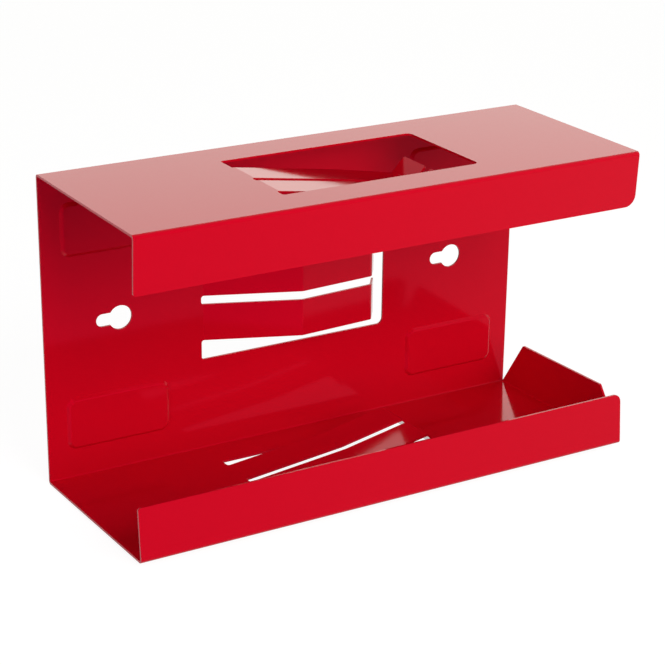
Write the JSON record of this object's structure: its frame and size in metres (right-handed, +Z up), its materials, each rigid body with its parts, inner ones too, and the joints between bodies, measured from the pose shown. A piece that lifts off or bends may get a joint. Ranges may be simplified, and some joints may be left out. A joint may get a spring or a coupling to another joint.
{
  "type": "disposable glove dispenser",
  "caption": "Folded sheet-metal holder for a box of disposable gloves, open at the front and one end, with bent spring fingers, a stop tab, keyholes and magnets in its back.",
  "frame": {"origin": "middle of the footprint, level with the lowest fold, which is the one between the back and the floor", "axes": "+X from the open left end to the right end with the stop tab, +Y from the front lips to the back panel, +Z up as it hangs on the wall"},
  "size_m": [0.3, 0.116, 0.175],
  "materials": {
    "powder_coated_steel": "gloss",
    "magnet": "matte"
  },
  "bodies": {
    "root": {"dispenser_body": "powder_coated_steel", "magnet_upper_left": "magnet", "magnet_upper_right": "magnet", "magnet_lower_left": "magnet", "magnet_lower_right": "magnet"}
  },
  "joints": []
}
